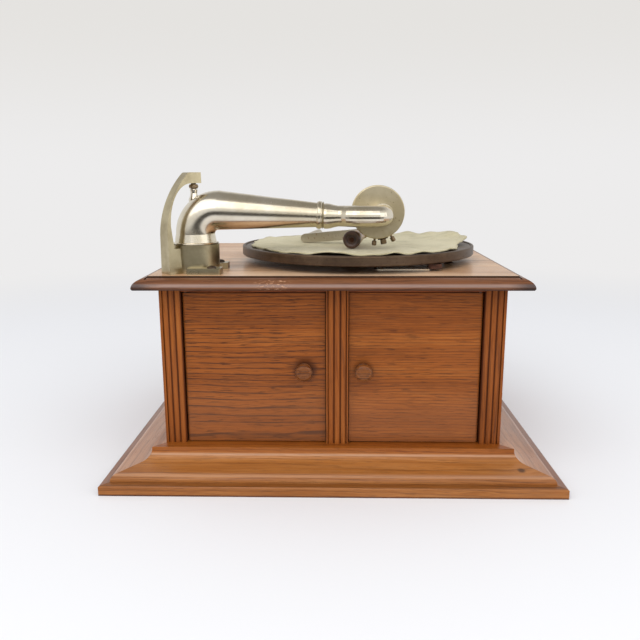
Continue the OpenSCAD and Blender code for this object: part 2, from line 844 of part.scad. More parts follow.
module pivot_screw() {
    tip_z = cup_top - 2.2;
    color(dark_steel)
        translate([arm_x, arm_y, tip_z])
            rotate_extrude()
                polygon([[0, 0], [pivot_screw_r, 2.5], [pivot_screw_r, head_z1 - 0.4 - tip_z], [0, head_z1 - 0.4 - tip_z]]);
}
module lock_nut() {
    color(dark_steel)
        translate([arm_x, arm_y, nut_z0])
            difference() {
                rotate_extrude()
                    polygon(concat([[0, 0], [3.8, 0]], arc(3.4, nut_h / 2, 1.2, 1.6, -60, 60, 5), [[3.8, nut_h], [0, nut_h]]));
                translate([0, 0, -1]) cylinder(r = pivot_screw_r, h = nut_h + 2);
            }
}
module bracket_screws() {
    color(dark_steel)
        for (p = foot_screw_places)
            translate([p[0], p[1], lid_top + foot_t]) {
                translate([0, 0, -14]) cylinder(r = 1.6, h = 14.2);
                difference() {
                    rotate_extrude() polygon(concat([[0, 0]], arc(0, 0, 4.6, 2.4, 0, 90, 6)));
                    translate([-5, -0.5, 1.5]) cube([10, 1, 2]);
                }
            }
}

// Upright root, elbow and taper; the straight pieces lap over the elbow with a thin bead
module tonearm() {
    bend_tube_r = arm_bend_d / 2;
    bore_r = bend_tube_r - tube_t;
    root_z0 = lid_top + 8;
    root_z1 = collar_top + 0.4;
    lap = 0.6;
    bead = 0.15;
    color(nickel)
        union() {
            translate([arm_x, arm_y, 0])
                rotate_extrude()
                    polygon([[spigot_r - tube_t, root_z0], [spigot_r, root_z0], [spigot_r, root_z1],
                             [collar_r - 0.9, root_z1], [collar_r - 0.6, root_z1 + 1], [arm_root_r, root_z1 + 1.5],
                             [bend_tube_r + bead, bend_z + lap], [bore_r - bead, bend_z + lap], [spigot_r - tube_t, root_z1 + 1]]);
            translate([bend_x, arm_y, bend_z])
                rotate([90, 0, 0])
                    rotate(90 - arm_slope)
                        rotate_extrude(angle = 90 + arm_slope)
                            translate([bend_r, 0])
                                difference() {
                                    circle(r = bend_tube_r);
                                    circle(r = bore_r);
                                }
            translate([bend_x + bend_r * sin(arm_slope), arm_y, bend_z + bend_r * cos(arm_slope)])
                rotate([0, 90 + arm_slope, 0])
                    rotate_extrude()
                        polygon([[bore_r - bead, -lap], [bend_tube_r + bead, -lap],
                                 [arm_tip_d / 2, arm_length], [arm_tip_d / 2 - tube_t, arm_length]]);
            // cup for the pivot screw
            translate([arm_x, arm_y, 0])
                rotate_extrude()
                    polygon([[0, 263], [5.2, 263], [5.2, 271], [3.8, 274.5], [3.2, 277], [3.8, cup_top - 0.8],
                             [3.4, cup_top], [2.7, cup_top], [0, cup_top - 2.7]]);
        }
}

module arm_collar() {
    color(nickel)
        translate([arm_tip_x - 3, arm_y, arm_tip_z + 3 * tan(arm_slope)])
            rotate([0, 90 + arm_slope, 0])
                difference() {
                    rotate_extrude()
                        polygon(concat([[11.9, 0], [12.6, 0]], arc(12.2, 2.6, 1.2, 2.2, -70, 70, 5), [[12.6, 5.2], [11.9, 5.2]]));
                    translate([0, 0, -1]) cylinder(r1 = 11.7, r2 = 11.9, h = 3.9);
                }
}

// Gooseneck: a flared socket, a shallow double bend and an elbow into the soundbox.
// Stations along a level path: x, y, heading, radius
function bend_stations(start, heading, radius, turn, r0, r1, n) =
    let (side = turn > 0 ? 1 : -1,
         centre = [start[0] - side * radius * sin(heading), start[1] + side * radius * cos(heading)])
    [for (i = [0:n]) let (h = heading + turn * i / n)
        [centre[0] + side * radius * sin(h), centre[1] - side * radius * cos(h), h, r0 + (r1 - r0) * i / n]];

module swept_tube(stations, sides) {
    points = [for (s = stations, k = [0:sides - 1])
        let (a = 360 * k / sides, out = s[3] * cos(a))
        [s[0] - out * sin(s[2]), s[1] + out * cos(s[2]), s[3] * sin(a)]];
    last = len(stations) - 1;
    faces = concat(
        [[for (k = [0:sides - 1]) k]],
        [[for (k = [sides - 1:-1:0]) last * sides + k]],
        [for (i = [0:last - 1], k = [0:sides - 1])
            let (j = (k + 1) % sides)
            [i * sides + k, (i + 1) * sides + k, (i + 1) * sides + j, i * sides + j]]);
    polyhedron(points, faces, convexity = 4);
}

// Turned ring of the gooseneck: its spigot runs in the collar of the tone arm
module neck_ring() {
    color(nickel)
        difference() {
            translate([arm_tip_x, arm_y, arm_tip_z])
                rotate([0, 90 + arm_slope, 0])
                    rotate_extrude()
                        polygon([[0, 0.4], [11.85, 0.4], [11.85, 2.5], [12.6, 2.5], [13, 3], [12.6, 3.5],
                                 [12.2, 3.6], [12.2, 7], [0, 7]]);
            translate([neck_start_x - 0.02, arm_y - 20, arm_tip_z - 20]) cube(40);
        }
}

module gooseneck() {
    s_bend_r = 16;
    s_angle = acos(1 - (arm_y - neck_y) / 2 / s_bend_r);
    x0 = neck_start_x;
    x1 = x0 + 14;
    first = bend_stations([x1, arm_y], 0, s_bend_r, -s_angle, 10, neck_r, 5);
    mid = first[len(first) - 1];
    second = bend_stations([mid[0], mid[1]], -s_angle, s_bend_r, s_angle, neck_r, neck_r, 5);
    third = bend_stations([neck_end_x - neck_bend_r, neck_y], 0, neck_bend_r, 90, neck_r, neck_r, 9);
    stations = concat(
        [[x0, arm_y, 0, 12.1], [x0 + 2.5, arm_y, 0, 12.3], [x0 + 6, arm_y, 0, 11.9], [x0 + 10, arm_y, 0, 10.8]],
        first,
        [for (i = [1:len(second) - 1]) second[i]],
        third,
        [[neck_end_x, soundbox_y - 1.6, 90, neck_r], [neck_end_x, soundbox_y - 1.5, 90, neck_r + 0.9],
         [neck_end_x, soundbox_y, 90, neck_r + 0.9]]);
    color(nickel) translate([0, 0, neck_z]) swept_tube(stations, 32);
}

// Soundbox: its back plate faces the front of the cabinet
module soundbox_case() {
    color(brass_grey)
        translate([soundbox_x, soundbox_y, soundbox_z])
            difference() {
                turned_along_y(concat(
                    [[0, 0], [soundbox_r - 1, 0]],
                    arc(soundbox_r - 1, 1, 1, 1, -90, 0, 3),
                    [[soundbox_r, 2.4], [soundbox_r - 1, 2.8], [soundbox_r - 1, 8.2],
                     [soundbox_r, 8.6], [soundbox_r, soundbox_t - 0.8], [soundbox_r - 0.8, soundbox_t],
                     [0, soundbox_t]]));
                translate([0, 2.5, 0]) rotate([-90, 0, 0]) cylinder(r = soundbox_r - 6.5, h = 20);
                for (a = [-side_screw_turn, side_screw_turn])
                    translate([0, side_screw_y, 0])
                        rotate([180, -chuck_turn - a, 0])
                            translate([0, 0, soundbox_r - 3]) cylinder(r = side_screw_r, h = 6);
                translate([0, soundbox_t - 1.5, 0]) rotate([-90, 0, 0]) cylinder(r1 = soundbox_r - 6.5, r2 = soundbox_r - 4, h = 1.6);
            }
}

module diaphragm() {
    color("#d8cfae")
        translate([soundbox_x, soundbox_y + 7, soundbox_z])
            rotate([-90, 0, 0]) cylinder(r = soundbox_r - 6.5, h = 0.6);
}

// Frame of the needle chuck: origin on the soundbox rim, Z towards the middle of the box
module chuck_frame() {
    translate([soundbox_x, soundbox_y, soundbox_z])
        rotate([0, -chuck_turn, 0])
            translate([0, 0, -soundbox_r]) children();
}

// Lever from the needle chuck up to the middle of the diaphragm
module stylus_lever() {
    lever_y = soundbox_t + 0.4;
    color(dark_steel)
        chuck_frame()
            difference() {
                union() {
                    translate([0, chuck_y, -chuck_drop]) cylinder(r = 3, h = chuck_drop + 1);
                    translate([-5, 7.5, -1.4]) cube([10, 5, 2.4]);
                    translate([-1.2, lever_y, -1]) cube([2.4, 1.1, soundbox_r + 2]);
                    translate([0, 7.8, soundbox_r]) rotate([-90, 0, 0]) cylinder(r = 1.4, h = lever_y - 7);
                }
                // room for the rim of the box
                translate([0, 0, soundbox_r])
                    rotate([-90, 0, 0])
                        difference() {
                            cylinder(r = soundbox_r, h = soundbox_t);
                            translate([0, 0, -1]) cylinder(r = 6, h = soundbox_t + 2);
                        }
                translate([0, chuck_y, -chuck_drop - 1]) cylinder(r = needle_r, h = needle_depth + 1);
                translate([0, chuck_y, chuck_screw_z]) rotate([90, 0, 0]) cylinder(r = 1 + run_gap, h = 4);
            }
}

module soundbox_screws() {
    color(dark_steel)
        translate([soundbox_x, soundbox_y + side_screw_y, soundbox_z])
            for (a = [-side_screw_turn, side_screw_turn])
                rotate([180, -chuck_turn - a, 0])
                    rotate_extrude()
                        polygon([[0, soundbox_r - 3], [side_screw_r, soundbox_r - 3], [side_screw_r, soundbox_r + 2],
                                 [2.2, soundbox_r + 2.4], [2.4, soundbox_r + 6.2], [1.8, soundbox_r + 7], [0, soundbox_r + 7]]);
}

// Thumb screw that holds the needle in its chuck
module needle_screw() {
    color(dark_steel)
        chuck_frame()
            translate([0, chuck_y - 1.1, chuck_screw_z])
                rotate([90, 0, 0])
                    rotate_extrude()
                        polygon([[0, 0], [1, 0], [1, 3.2], [1.8, 3.6], [2.8, 4], [2.8, 6.6], [2.2, 7.2], [0, 7.2]]);
}

// Brake ----------------------------------------------------------------------

module brake_lever() {
    color(nickel)
        translate([brake_x, brake_y, lid_top + 0.4])
            difference() {
                union() {
                    cylinder(r = 5, h = 1.6);
                    translate([0, -3.5, 0]) cube([brake_len, 7, 1.6]);
                }
                translate([0, 0, -1]) cylinder(r = 2.05, h = 4);
            }
}
module brake_block() {
    color("#5a3a28")
        translate([brake_x + brake_len - 1, brake_y - 4, lid_top + 2])
            cube([13, 8, 5]);
}
module brake_pivot() {
    color(nickel)
        translate([brake_x, brake_y, lid_top - 8]) {
            cylinder(r = 1.6, h = 8);
            translate([0, 0, 8]) cylinder(r = 2, h = 2.2);
            translate([0, 0, 10.2]) cylinder(r1 = 4, r2 = 3.2, h = 1.2);
        }
}

// Crank ----------------------------------------------------------------------

module crank_frame() {
    translate(crank_pos) rotate([-crank_tilt, 0, -crank_yaw]) children();
}

module crank_arm() {
    y0 = handle_len + 0.4;
    thick = 5;
    color(nickel)
        crank_frame() {
            translate([0, 1.6, 0]) rotate([-90, 0, 0]) cylinder(r = 2.6, h = y0);
            rotate([0, -crank_droop, 0]) {
                translate([0, y0 + thick, 0])
                    rotate([90, 0, 0])
                        linear_extrude(thick)
                            union() {
                                circle(r = crank_hub_r);
                                translate([-crank_len, 0]) circle(r = crank_end_r);
                                polygon([[0, crank_hub_r], [-crank_len, crank_end_r],
                                         [-crank_len, -crank_end_r], [0, -crank_hub_r]]);
                            }
                translate([-crank_len, y0 + thick - 1, 0]) rotate([-90, 0, 0]) cylinder(r = 4, h = crank_shaft_l);
            }
        }
}

// Turned wooden handle, free on the pin of the crank
module crank_handle() {
    color("#4b2f22")
        crank_frame()
            turned_along_y(concat(
                [[2.65, 2], [4.6, 2], [4.6, 0.6], [6.4, 0]],
                arc(7.4, 1.6, 1.6, 1.6, -90, 0, 4),
                [[handle_r, 5], [3.9, handle_len], [2.65, handle_len]]));
}

plinth_front();
plinth_back();
plinth_left();
plinth_right();
base_board();
left_side();
right_side();
back_panel();
left_pilaster();
right_pilaster();
centre_stile();
top_rail();
partition();
sound_deflector();
corner_blocks();
door_pivots();
door_stops();
winding_escutcheon();
left_door();
left_knob();
right_door();
right_knob();
lid_board();
lid_battens();
throat_sleeve();
motor_top_plate();
motor_bottom_plate();
motor_pillars();
motor_bolts();
governor_bracket();
winding_bearing();
tonearm_bracket();
pivot_screw();
lock_nut();
bracket_screws();
spindle();
platter();
platter_felt();
intermediate_wheel();
spring_barrel();
spring_arbor();
governor();
winding_arbor();
speed_knob();
regulator_rod();
tonearm();
arm_collar();
neck_ring();
gooseneck();
soundbox_case();
diaphragm();
stylus_lever();
soundbox_screws();
needle_screw();
brake_lever();
brake_block();
brake_pivot();
crank_arm();
crank_handle();
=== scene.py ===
# Table gramophone: finishes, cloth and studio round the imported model.
import math

import bmesh
import bpy
from mathutils import Matrix, Vector


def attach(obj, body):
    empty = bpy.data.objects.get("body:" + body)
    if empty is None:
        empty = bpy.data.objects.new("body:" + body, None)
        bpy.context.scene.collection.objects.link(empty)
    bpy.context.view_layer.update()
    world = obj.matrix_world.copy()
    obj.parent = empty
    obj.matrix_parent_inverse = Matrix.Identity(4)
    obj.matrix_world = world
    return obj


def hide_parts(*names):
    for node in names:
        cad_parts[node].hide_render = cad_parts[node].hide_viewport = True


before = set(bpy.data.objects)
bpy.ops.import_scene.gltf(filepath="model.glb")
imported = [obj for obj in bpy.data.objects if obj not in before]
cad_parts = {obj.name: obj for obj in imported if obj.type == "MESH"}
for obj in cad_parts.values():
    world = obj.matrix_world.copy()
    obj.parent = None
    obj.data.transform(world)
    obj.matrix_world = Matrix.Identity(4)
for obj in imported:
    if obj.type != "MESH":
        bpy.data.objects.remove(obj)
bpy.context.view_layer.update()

scene = bpy.context.scene


# Colours --------------------------------------------------------------------

def srgb(red, green, blue):
    """An 8-bit screen colour as the linear colour that a shader takes."""
    def linear(c):
        c /= 255
        return c / 12.92 if c <= 0.04045 else ((c + 0.055) / 1.055) ** 2.4
    return (linear(red), linear(green), linear(blue), 1.0)


# Shader nodes ---------------------------------------------------------------

class Value:
    """An output socket that can stand in a sum; the sum adds its Math nodes."""

    def __init__(self, finish, socket):
        self.finish = finish
        self.socket = socket

    def sum_of(self, operation, first, second=0.0):
        return self.finish.node("ShaderNodeMath", {"operation": operation}, {0: first, 1: second})

    def __add__(self, other):
        return self.sum_of("ADD", self, other)

    def __radd__(self, other):
        return self.sum_of("ADD", other, self)

    def __sub__(self, other):
        return self.sum_of("SUBTRACT", self, other)

    def __rsub__(self, other):
        return self.sum_of("SUBTRACT", other, self)

    def __mul__(self, other):
        return self.sum_of("MULTIPLY", self, other)

    def __rmul__(self, other):
        return self.sum_of("MULTIPLY", other, self)

    def __truediv__(self, other):
        return self.sum_of("DIVIDE", self, other)

    def __abs__(self):
        return self.sum_of("ABSOLUTE", self)

    def fraction(self):
        return self.sum_of("FRACT", self)

    def or_more(self, other):
        return self.sum_of("MAXIMUM", self, other)

    def or_less(self, other):
        return self.sum_of("MINIMUM", self, other)

    def step(self, low, high):
        """0 below low, 1 above high and smooth between; the other way round if low is the higher."""
        start, end = (0.0, 1.0) if low < high else (1.0, 0.0)
        return self.finish.node(
            "ShaderNodeMapRange", {"interpolation_type": "SMOOTHSTEP", "clamp": True},
            {"Value": self, "From Min": min(low, high), "From Max": max(low, high),
             "To Min": start, "To Max": end})


class Finish:
    """A material, or the room's world, and the nodes that it is made of."""

    def __init__(self, name, kind="materials"):
        self.material = getattr(bpy.data, kind).new(name)
        self.material.use_nodes = True
        self.tree = self.material.node_tree
        self.tree.nodes.clear()

    def node(self, kind, settings, inputs, out=None):
        """A node of any kind: its settings first, then the values or links of its sockets."""
        node = self.tree.nodes.new(kind)
        for key, value in settings.items():
            if key == "stops":
                ramp = node.color_ramp
                while len(ramp.elements) < len(value):
                    ramp.elements.new(0.5)
                for element, (place, colour) in zip(ramp.elements, value):
                    element.position = place
                    element.color = colour
            else:
                setattr(node, key, value)
        for key, value in inputs.items():
            socket = self.find(node.inputs, key)
            if isinstance(value, Value):
                self.tree.links.new(value.socket, socket)
            else:
                socket.default_value = value
        if out:
            return Value(self, self.find(node.outputs, out))
        return Value(self, node.outputs[0]) if len(node.outputs) else None

    @staticmethod
    def find(sockets, key):
        """A socket by its number, its identifier or else its name."""
        if isinstance(key, int):
            return sockets[key]
        return next((s for s in sockets if s.identifier == key), None) or sockets[key]

    def place(self):
        return self.node("ShaderNodeTexCoord", {}, {}, "Object")

    def normal(self):
        return self.node("ShaderNodeTexCoord", {}, {}, "Normal")

    def ray(self, kind):
        """1 for one kind of light path and 0 for all others."""
        return self.node("ShaderNodeLightPath", {}, {}, kind)

    def axis(self, vector, name):
        return self.node("ShaderNodeSeparateXYZ", {}, {"Vector": vector}, name)

    def moved(self, vector, shift=(0, 0, 0), scale=(1, 1, 1)):
        return self.node("ShaderNodeMapping", {}, {"Vector": vector, "Location": shift, "Scale": scale})

    def noise(self, vector, scale, detail=2.0, rough=0.5, bend=0.0):
        return self.node("ShaderNodeTexNoise", {}, {
            "Vector": vector, "Scale": scale, "Detail": detail, "Roughness": rough, "Distortion": bend})

    def ramp(self, value, *stops):
        return self.node("ShaderNodeValToRGB", {"stops": stops}, {"Fac": value})

    def mix(self, amount, first, second, blend="MIX"):
        return self.node(
            "ShaderNodeMix", {"data_type": "RGBA", "blend_type": blend},
            {"Factor_Float": amount, "A_Color": first, "B_Color": second}, "Result_Color")

    def vectors(self, operation, inputs, out=None):
        return self.node("ShaderNodeVectorMath", {"operation": operation}, inputs, out)

    def distance(self, vector, point):
        return self.vectors("DISTANCE", {0: vector, 1: point}, "Value")

    def along(self, vector, point, direction):
        """How far a place lies past a point, along a direction."""
        away = self.vectors("SUBTRACT", {0: vector, 1: point})
        return self.vectors("DOT_PRODUCT", {0: away, 1: direction}, "Value")

    def bump(self, height, strength, depth):
        return self.node("ShaderNodeBump", {}, {"Height": height, "Strength": strength, "Distance": depth})

    def output(self, shader, kind="ShaderNodeOutputMaterial"):
        self.node(kind, {}, {"Surface": shader})
        return self.material

    def surface(self, inputs):
        """The main shader on the output; what is the same all over is set on its own sockets."""
        return self.output(self.node("ShaderNodeBsdfPrincipled", {}, inputs))


# Wood -----------------------------------------------------------------------

OAK = (srgb(70, 40, 24), srgb(131, 68, 18), srgb(153, 84, 28), srgb(175, 106, 45))
OAK_DARK = (srgb(70, 34, 18), srgb(124, 62, 26), srgb(152, 80, 36), srgb(174, 102, 52))
OAK_PALE = (srgb(84, 46, 22), srgb(147, 87, 34), srgb(171, 110, 54), srgb(192, 132, 76))
OAK_KNOB = (srgb(76, 40, 20), srgb(118, 66, 26), srgb(136, 80, 36), srgb(154, 98, 52))
# paler, greyer oak for the plinth's sides: painted sheen
OAK_SHEEN_PAINTED = (srgb(96, 60, 42), srgb(156, 104, 70), srgb(178, 126, 90), srgb(196, 148, 114))
LID_OAK = (srgb(140, 98, 66), srgb(184, 138, 100), srgb(208, 166, 126), srgb(224, 188, 150))
DEAL = (srgb(150, 108, 62), srgb(182, 138, 86), srgb(204, 162, 108), srgb(218, 182, 130))
# dark tint for painted shade: between the reeds, where there is dirt too, and under the plinth
SHADE_AND_DIRT = (0.32, 0.25, 0.2, 1.0)
EDGE_STAIN = (0.31, 0.19, 0.125, 1.0)
SIDE_LOWER_TINT = (0.6, 0.5, 0.46, 1.0)
CORNER_TINT = (0.3, 0.3, 0.34, 1.0)
RICH_STAIN = (0.84, 0.66, 0.36, 1.0)
# painted shade: the lid's lower edge and the line under the plinth's bead
DEEP_SHADE = (0.4, 0.34, 0.3, 1.0)
SHADE_BLACK = (0.12, 0.09, 0.08, 1.0)
# pinkish grey of the painted highlights on the plinth
HIGHLIGHT_PINK = srgb(214, 172, 142)
RING_TILT = (0.62, 0.55, 1.0)        # how much each axis counts in the height that sets the growth lines
LID_TOP_HALF = (0.1737, 0.1577)      # half the lid's flat top, along X and Y
LID_NOSE = 0.1940                    # height at which the lid's moulding stands out most
DOOR_FACE = -0.146
KNOB_HEIGHT = 0.107
KNOB_SHADE = 0.013
CHIP_SQUASH = 0.35                   # chips are longer along the edge by one over this


def reed_groove_shade_and_dirt(front, end):
    """Painted shade, with dirt, down between the reeds, but not round the corner."""
    def mask(finish, here):
        deep = finish.axis(here, "Y").step(front + 0.0005, front + 0.0013)
        return deep * abs(finish.axis(here, "X")).step(end, end - 0.0003)
    return mask


def lid_side(finish, here):
    """How far a place lies outside the lid's flat top."""
    side = abs(finish.axis(here, "X")) - LID_TOP_HALF[0]
    return side.or_more(abs(finish.axis(here, "Y")) - LID_TOP_HALF[1])


def lid_moulding(finish, here):
    """All of the lid outside its flat top."""
    return lid_side(finish, here).step(0.0, 0.0005)


def lid_painted_highlight(finish, here):
    """A painted highlight band where the moulding stands out most."""
    nose = abs(finish.axis(here, "Z") - LID_NOSE).step(0.0022, 0.0006)
    return nose * lid_moulding(finish, here) * 0.4


def lid_groove_shade(finish, here):
    """The narrow groove that parts the flat top from the moulding, darkened with painted shade."""
    side = lid_side(finish, here)
    return side.step(-0.0004, 0.0) * side.step(0.0022, 0.0014)


def below(level, soft):
    """Everything under one height, with a soft limit."""
    def mask(finish, here):
        return finish.axis(here, "Z").step(level + soft, level - soft)
    return mask


def above(level, soft):
    """Everything over one height, with a soft limit."""
    def mask(finish, here):
        return finish.axis(here, "Z").step(level - soft, level + soft)
    return mask


def band(level, half, much):
    """A soft line that runs along at one height."""
    def mask(finish, here):
        return abs(finish.axis(here, "Z") - level).step(half, half * 0.3) * much
    return mask


def lid_ends(finish, here):
    """The lower half of the lid's moulding, coloured darker and bluer towards its corners."""
    side = abs(finish.axis(here, "X")).step(0.158, 0.182)
    end = abs(finish.axis(here, "Y")).step(0.135, 0.16)
    return side * end * finish.axis(here, "Z").step(0.1972, 0.1944)


def lid_front_painted_light(finish, here):
    """Painted light that makes the strip of lid in front of the turntable paler, lifting the turntable's
    shadow.
    """
    middle = abs(finish.axis(here, "X") - 0.01).step(0.14, 0.07)
    front = finish.axis(here, "Y").step(-0.120, -0.142)
    return middle * front * lid_side(finish, here).step(0.0, -0.001) * 0.7


def door_paler_below(finish, here):
    """The lower third, coloured paler and pinker."""
    return finish.axis(here, "Z").step(0.105, 0.06) * 0.22


def knob_shade(x):
    """A painted shadow round a door's knob."""
    return [((x, DOOR_FACE, KNOB_HEIGHT), KNOB_SHADE)]


def board(name, grain, tones, seed, gloss, rings=(170.0, 0.0), line=0.85, sheen=0.2,
          marks=(), knots_and_knob_shade=(), chips=()):
    """Oiled wood whose grain runs along one axis.

    rings: growth lines to the metre, and how they crowd with height; line: how dark they are;
    marks: (mask, tint, blend) laid over the grain; knots_and_knob_shade (real knots and painted shadows round
    the knobs) and chips: (point, size).
    """
    finish = Finish(name)
    shift = (0.37 * seed, 0.73 * seed, 1.19 * seed)
    here = finish.place()
    place = finish.moved(here, shift)
    run = "XYZ".index(grain)

    def scaled(vector, along, across):
        return finish.moved(vector, scale=tuple(along if i == run else across for i in range(3)))

    swing = finish.noise(scaled(place, 3.0, 9.0), 1.0, 3.0, 0.5)
    across = tuple(0.0 if i == run else 1.0 for i in range(3))
    sway = finish.vectors("SCALE", {0: across, "Scale": (swing - 0.5) * 0.03})
    wavy = finish.vectors("ADD", {0: place, 1: sway})
    broad = finish.noise(scaled(wavy, 1.3, 38.0), 1.0, 3.0, 0.55)
    lines = finish.noise(scaled(wavy, 5.0, 330.0), 1.0, 3.0, 0.65, 0.2)
    fibre = finish.noise(scaled(wavy, 16.0, 1150.0), 1.0, 2.0, 0.6)
    pores = finish.noise(scaled(place, 60.0, 1300.0), 1.0, 2.0).step(0.58, 0.66)
    stain = finish.noise(place, 11.0, 4.0, 0.6)
    tone = broad * 0.42 + lines * 0.34 + fibre * 0.24
    dark, mid, light, pale = tones
    colour = finish.ramp(tone, (0.3, dark), (0.42, mid), (0.53, light), (0.66, pale))
    # growth lines: dark on one side and fading to the other, broken where the grain is coarse
    tilt = tuple(0.0 if i == run else RING_TILT[i] for i in range(3))
    height = finish.along(here, (0.0, 0.0, 0.0), tilt)
    ripple = finish.noise(scaled(place, 9.0, 30.0), 1.0, 2.0)
    crowd = finish.noise(scaled(place, 1.5, 32.0), 1.0, 0.0)
    phase = height * rings[0] + height * height * rings[1] + (swing - 0.5) * 4.2
    phase = phase + (ripple - 0.5) * 1.3 + (crowd - 0.5) * 3.0
    broken_up = finish.noise(scaled(place, 26.0, 300.0), 1.0, 3.0, 0.6).step(0.36, 0.56)
    late = phase.fraction().step(0.72, 0.94) * (broken_up * 0.65 + 0.35) * (stain + 0.5).or_less(1.0)
    colour = finish.mix(lines.step(0.53, 0.62) * (line * 0.4), colour, dark)
    colour = finish.mix(late * line, colour, dark)
    colour = finish.mix(pores * (line * 0.7), colour, tuple(c * 0.5 for c in dark[:3]) + (1.0,))
    colour = finish.mix(stain.step(0.52, 0.72) * 0.16, colour, dark)
    # sawn ends drink more oil and turn grey brown
    facing = abs(finish.axis(finish.normal(), grain))
    colour = finish.mix(facing.step(0.6, 0.85) * 0.5, colour, srgb(96, 70, 54))
    for where, tint, blend in marks:
        colour = finish.mix(where(finish, here), colour, tint, blend)
    # a knot in the wood, or painted shadow round a door knob
    for point, size in knots_and_knob_shade:
        near = finish.distance(here, point) + (stain - 0.5) * size
        colour = finish.mix(near.step(size, size * 0.35) * 0.75, colour, srgb(48, 22, 12))
    for (x, y, z), size in chips:
        nicks = finish.noise(finish.moved(here, scale=(260.0, 700.0, 700.0)), 1.0, 3.0, 0.6).step(0.56, 0.6)
        near = finish.distance(finish.moved(here, scale=(CHIP_SQUASH, 1.0, 1.0)), (x * CHIP_SQUASH, y, z))
        colour = finish.mix(near.step(size, size * 0.4) * nicks * 0.75, colour, srgb(206, 158, 122))
    relief = fibre * 0.4 - pores * 0.8 - late * 0.4
    return finish.surface({
        "Base Color": colour, "Specular IOR Level": sheen,
        "Roughness": (fibre * 0.22 + stain * 0.16 + (0.56 - gloss * 0.6)).or_less(0.9),
        "Coat Weight": stain.step(0.75, 0.35) * (gloss * 0.35),
        "Coat Roughness": 0.16,
        "Normal": finish.bump(relief, 0.35, 0.0004)})


# Metal and the rest ---------------------------------------------------------

def plated(name, bright, dull, spot, rough, wear, relief=0.16, stains=()):
    """Plated or cast metal with clouds of tarnish, fine scratches and a few small pits."""
    finish = Finish(name)
    place = finish.place()
    cloud = finish.noise(place, 26.0, 5.0, 0.62)
    patch = finish.noise(finish.moved(place, (0.3, 0.1, 0.7)), 9.0, 3.0, 0.5)
    speck = finish.noise(place, 420.0, 3.0, 0.6)
    pits = (speck + patch * 0.3).step(0.87 - wear * 0.1, 0.93 - wear * 0.1)
    scratch = finish.noise(finish.moved(place, scale=(40.0, 900.0, 1500.0)), 1.0, 2.0, 0.6)
    haze = finish.noise(place, 1100.0, 2.0)
    colour = finish.mix((cloud * 0.6 + patch * 0.4).step(0.4, 0.62), bright, dull)
    colour = finish.mix(pits * 0.7, colour, spot)
    for point, size, tone in stains:
        near = finish.distance(place, point) + (cloud - 0.5) * size
        colour = finish.mix(near.step(size, size * 0.6), colour, tone)
    return finish.surface({
        "Base Color": colour,
        "Metallic": 1.0 - pits * 0.5,
        "Roughness": (cloud * 0.2 + haze * 0.08 + scratch * 0.08 + pits * 0.3 + (rough - 0.16)).or_more(0.05),
        "Normal": finish.bump(cloud * 0.2 + haze * 0.1 + scratch * 0.12 - pits * 0.6, relief, 0.0003)})


def turned_steel(name, bright, dull, rough):
    """Machined metal with fine turning lines round the upright axis."""
    finish = Finish(name)
    place = finish.place()
    ring = finish.noise(finish.moved(place, scale=(90.0, 90.0, 2200.0)), 1.0, 2.0)
    grease = finish.noise(place, 40.0, 4.0, 0.6)
    colour = finish.mix(grease.step(0.45, 0.68), bright, dull)
    return finish.surface({
        "Base Color": colour, "Metallic": 1.0,
        "Roughness": ring * 0.18 + grease * 0.2 + (rough - 0.15),
        "Normal": finish.bump(ring, 0.12, 0.0002)})


def felt_cloth(name):
    """Matted wool felt, sage green where it is clean and brown where it is worn."""
    finish = Finish(name)
    place = finish.place()
    patch = finish.noise(place, 19.0, 5.0, 0.6)
    dust = finish.noise(place, 90.0, 4.0, 0.65)
    fuzz = finish.noise(place, 1300.0, 3.0, 0.7)
    hairs = finish.noise(finish.moved(place, scale=(260.0, 700.0, 700.0)), 1.0, 3.0, 0.7, 1.2)
    colour = finish.ramp(patch * 0.6 + dust * 0.4, (0.34, srgb(168, 159, 118)), (0.47, srgb(196, 186, 148)),
                         (0.58, srgb(207, 197, 160)), (0.7, srgb(217, 208, 174)))
    colour = finish.mix(dust.step(0.6, 0.74) * 0.25, colour, srgb(134, 118, 84))
    colour = finish.mix((fuzz - 0.35) * 0.35, colour, srgb(96, 96, 62))
    return finish.surface({
        "Base Color": colour, "Roughness": 0.96, "Sheen Weight": 0.25, "Sheen Roughness": 0.5,
        "Normal": finish.bump(fuzz * 0.6 + hairs * 0.5 + dust * 0.6, 0.7, 0.0009)})


def platter_metal(name):
    """Plate gone brown, brushed round the rim."""
    finish = Finish(name)
    place = finish.place()
    lines = finish.noise(finish.moved(place, scale=(14.0, 14.0, 2600.0)), 1.0, 3.0)
    cloud = finish.noise(place, 36.0, 5.0, 0.65)
    speck = finish.noise(place, 420.0, 2.0).step(0.62, 0.7)
    colour = finish.ramp(cloud * 0.7 + lines * 0.3, (0.34, srgb(68, 51, 38)), (0.5, srgb(90, 71, 54)),
                         (0.66, srgb(112, 91, 71)))
    colour = finish.mix(speck * 0.4, colour, srgb(52, 36, 27))
    return finish.surface({
        "Base Color": colour, "Metallic": 0.75,
        "Roughness": cloud * 0.3 + lines * 0.15 + (speck * 0.15 + 0.2),
        "Normal": finish.bump(lines * 0.4 + cloud * 0.3 - speck * 0.5, 0.3, 0.0003)})


